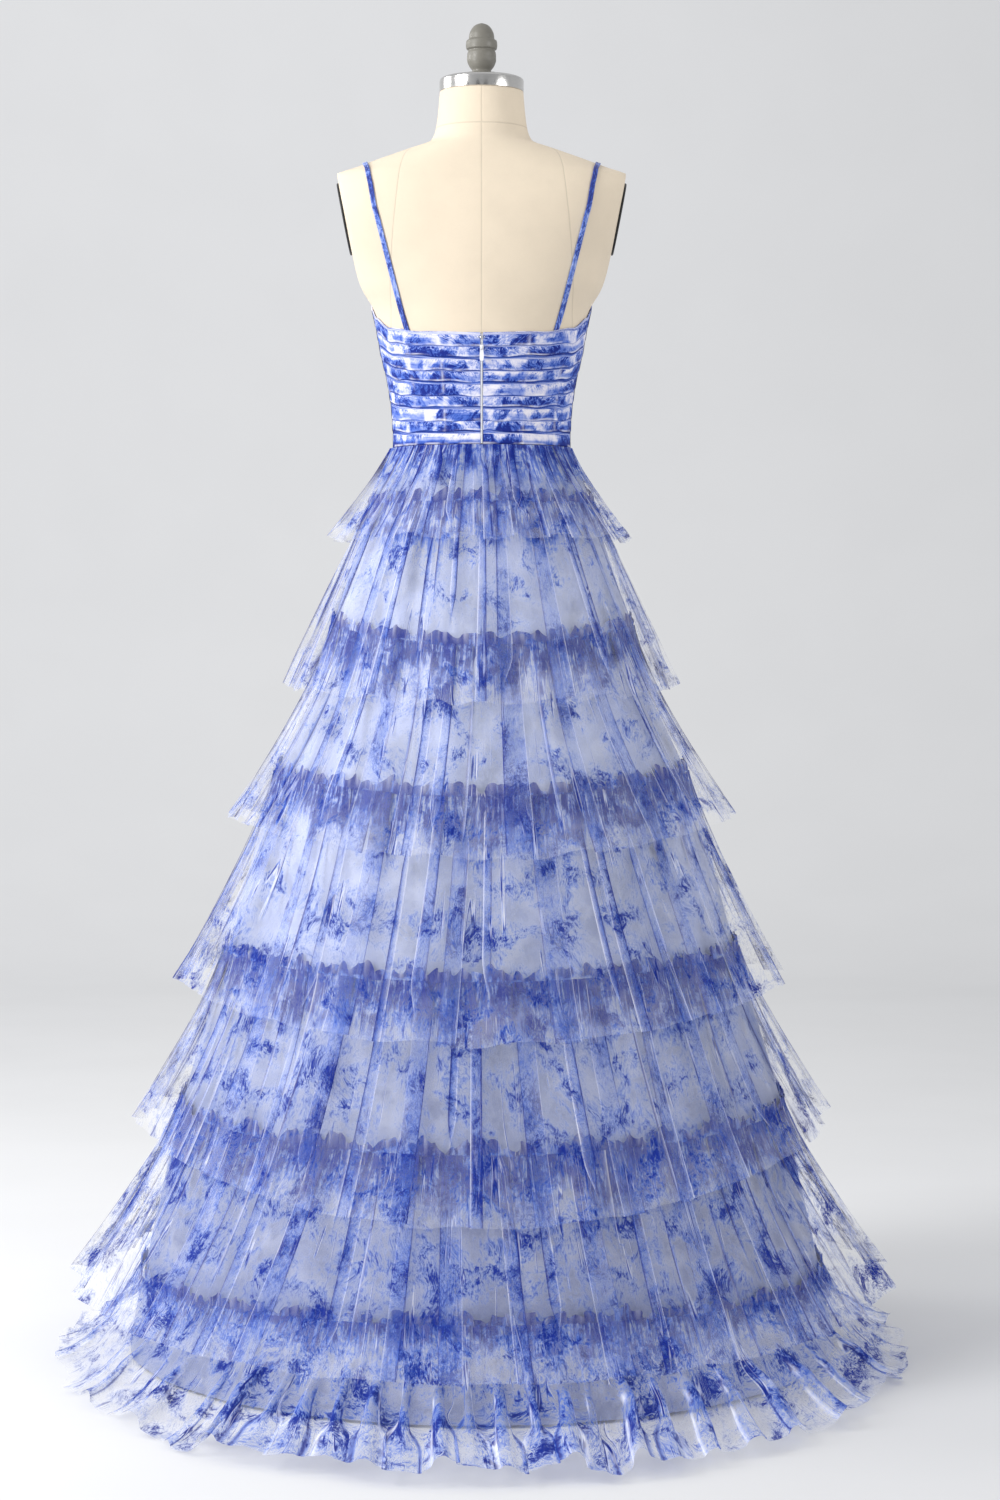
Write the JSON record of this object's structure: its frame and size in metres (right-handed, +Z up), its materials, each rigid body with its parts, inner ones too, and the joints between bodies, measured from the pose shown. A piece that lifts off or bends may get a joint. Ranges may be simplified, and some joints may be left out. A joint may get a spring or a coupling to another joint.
{
  "type": "a-line prom dress on a dress form",
  "caption": "Strapped A-line prom dress with a pleated bodice, back zip and gathered tulle tiers over a lining, on a limbless dress form and round stand.",
  "frame": {"origin": "on the floor under the middle of the stand's round base", "axes": "+Z up along the pole; -Y is the wearer's front, so the zip is at +Y; +X is the wearer's left"},
  "size_m": [1.0945, 1.2553, 1.7095],
  "materials": {
    "bodice_tulle": "pleated printed tulle over a backing",
    "strap_tulle": "folded printed tulle",
    "tier_tulle": "sheer printed tulle, gathered",
    "skirt_lining": "plain satin-faced lining",
    "zip_nylon": "woven tape and coil teeth",
    "zip_pull": "white enamel",
    "hook_steel": "plated wire",
    "form_linen": "plain woven linen cover",
    "arm_plate": "dark satin",
    "form_steel": "polished and brushed",
    "painted_metal": "satin grey paint"
  },
  "bodies": {
    "root": {"bodice_front": "bodice_tulle", "bodice_back_left": "bodice_tulle", "bodice_back_right": "bodice_tulle", "strap_left": "strap_tulle", "strap_right": "strap_tulle", "zip_chain": "zip_nylon", "zip_slider": "zip_pull", "hook": "hook_steel", "eye": "hook_steel", "skirt_lining": "skirt_lining", "tier_1": "tier_tulle", "tier_2": "tier_tulle", "tier_3": "tier_tulle", "tier_4": "tier_tulle", "tier_5": "tier_tulle", "tier_6": "tier_tulle", "tier_7": "tier_tulle", "form_torso": "form_linen", "arm_plate_left": "arm_plate", "arm_plate_right": "arm_plate", "neck_cap": "form_steel", "finial": "painted_metal", "form_socket": "form_steel", "stand_pole": "form_steel", "stand_base": "painted_metal"},
    "pull_tab": {"zip_tab": "zip_pull"}
  },
  "joints": [
    {"name": "zip_tab_swing", "type": "hinge", "parent": "root", "child": "pull_tab", "pos_m": [0, 0.09325, 1.283], "axis": [1, 0, 0], "range_deg": [0, 150]}
  ]
}
